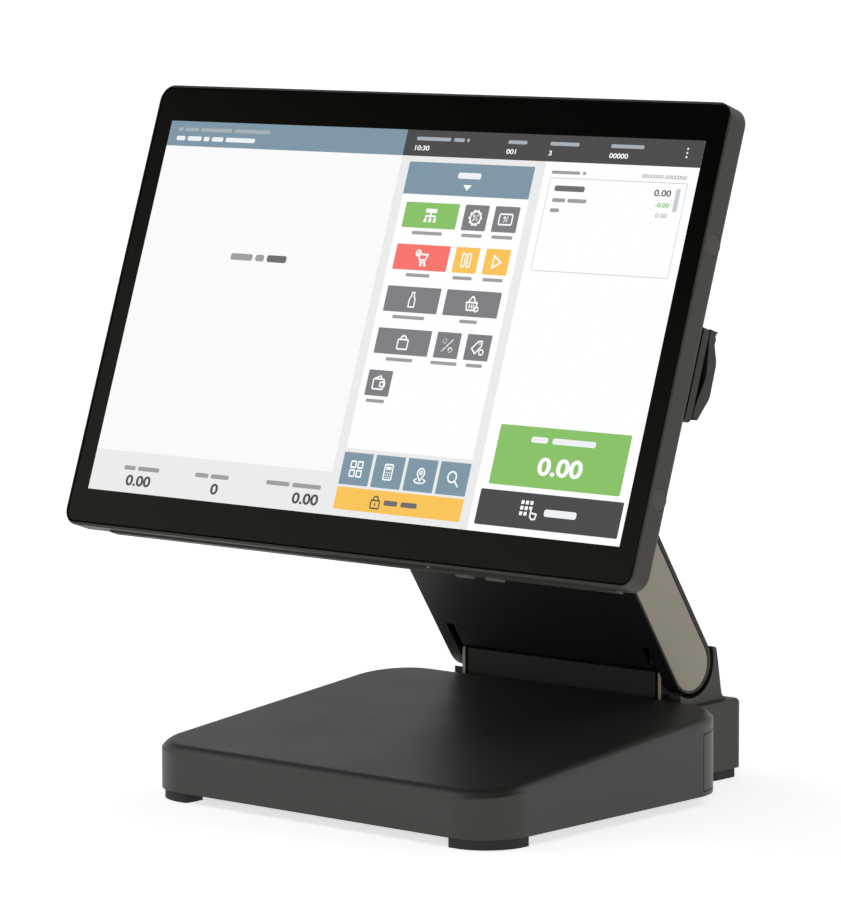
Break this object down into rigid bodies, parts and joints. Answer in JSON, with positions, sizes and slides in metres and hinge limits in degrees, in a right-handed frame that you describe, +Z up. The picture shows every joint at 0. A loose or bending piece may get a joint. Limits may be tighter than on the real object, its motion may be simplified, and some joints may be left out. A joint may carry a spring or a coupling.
{
  "type": "self checkout terminal",
  "caption": "Counter-top self checkout terminal: a wide touch display on a folding arm with a weighted base, a side card reader and friction hinges.",
  "frame": {"origin": "middle of the footprint, on the counter surface", "axes": "+Z up, +X to the display's right as a customer faces it, +Y to the back, away from the customer"},
  "size_m": [0.368, 0.238, 0.3485],
  "materials": {
    "housing_plastic": "fine moulded grain, satin",
    "arm_plastic": "fine moulded grain, satin",
    "inlay_plastic": "smooth matt taupe",
    "foot_rubber": "matt",
    "bare_steel": "brushed",
    "coated_steel": "powder coat",
    "weight_iron": "as cast",
    "clutch_steel": "blackened",
    "bush_metal": "turned",
    "screen_glass": "polished, black border printed behind",
    "screen_image": "lit display",
    "adhesive": "foam tape",
    "circuit_board": "solder mask",
    "heat_sink_metal": "extruded",
    "drive_case": "label-free case",
    "component_plastic": "moulded",
    "socket_shell": "nickel plated",
    "plug_rubber": "soft matt",
    "button_plastic": "satin",
    "light_pipe": "clear moulded"
  },
  "bodies": {
    "base": {"base_top_cover": "housing_plastic", "rear_corner_cover_left": "housing_plastic", "rear_corner_cover_right": "housing_plastic", "base_floor_plate": "coated_steel", "counterweight": "weight_iron", "front_left_foot": "foot_rubber", "front_right_foot": "foot_rubber", "rear_left_foot": "foot_rubber", "rear_right_foot": "foot_rubber", "hinge_pedestal": "housing_plastic", "pedestal_floor_plate": "coated_steel", "hinge_bracket": "bare_steel", "fold_shaft": "bare_steel", "fold_friction_clutch_left": "clutch_steel", "fold_friction_clutch_right": "clutch_steel", "hinge_cover": "arm_plastic", "floor_plate_screws": "bare_steel", "pedestal_screws": "bare_steel"},
    "arm": {"arm_front_cover": "arm_plastic", "arm_rear_cover": "arm_plastic", "arm_inlay_left": "inlay_plastic", "arm_inlay_right": "inlay_plastic", "arm_frame": "coated_steel", "fold_bush_left": "bush_metal", "fold_bush_right": "bush_metal", "tilt_shaft": "bare_steel", "tilt_friction_clutch_left": "clutch_steel", "tilt_friction_clutch_right": "clutch_steel", "arm_cover_screws": "bare_steel"},
    "display": {"cover_glass": "screen_glass", "glass_adhesive": "adhesive", "lcd_panel": "screen_image", "display_chassis": "coated_steel", "display_rim": "housing_plastic", "rear_housing": "housing_plastic", "switch_board": "circuit_board", "status_light": "light_pipe", "network_socket": "socket_shell", "usb_sockets": "socket_shell", "power_socket": "component_plastic", "main_board": "circuit_board", "heat_sink": "heat_sink_metal", "storage_drive": "drive_case", "memory_module": "circuit_board", "speaker_left": "component_plastic", "speaker_right": "component_plastic", "tilt_bracket": "bare_steel", "tilt_bush_left": "bush_metal", "tilt_bush_right": "bush_metal", "neck_cover": "arm_plastic", "side_plugs_left": "plug_rubber", "side_plugs_right": "plug_rubber", "card_reader_base": "housing_plastic", "card_reader_cover": "housing_plastic", "card_reader_head": "component_plastic", "housing_screws": "bare_steel"},
    "power_key": {"power_button": "button_plastic"},
    "brightness_key": {"brightness_button": "button_plastic"}
  },
  "joints": [
    {"name": "arm_fold", "type": "hinge", "parent": "base", "child": "arm", "pos_m": [0, 0.082, 0.062], "axis": [1, 0, 0], "range_deg": [-30, 12]},
    {"name": "display_tilt", "type": "hinge", "parent": "arm", "child": "display", "pos_m": [0, -0.02926, 0.2282], "axis": [1, 0, 0], "range_deg": [-30, 19]},
    {"name": "power_press", "type": "slide", "parent": "display", "child": "power_key", "axis": [0, 0.3262, 0.9453], "range_m": [0, 0.001], "stiffness_N_per_m": 400, "springref_m": -0.0005},
    {"name": "brightness_press", "type": "slide", "parent": "display", "child": "brightness_key", "axis": [0, 0.3262, 0.9453], "range_m": [0, 0.001], "stiffness_N_per_m": 400, "springref_m": -0.0005}
  ]
}
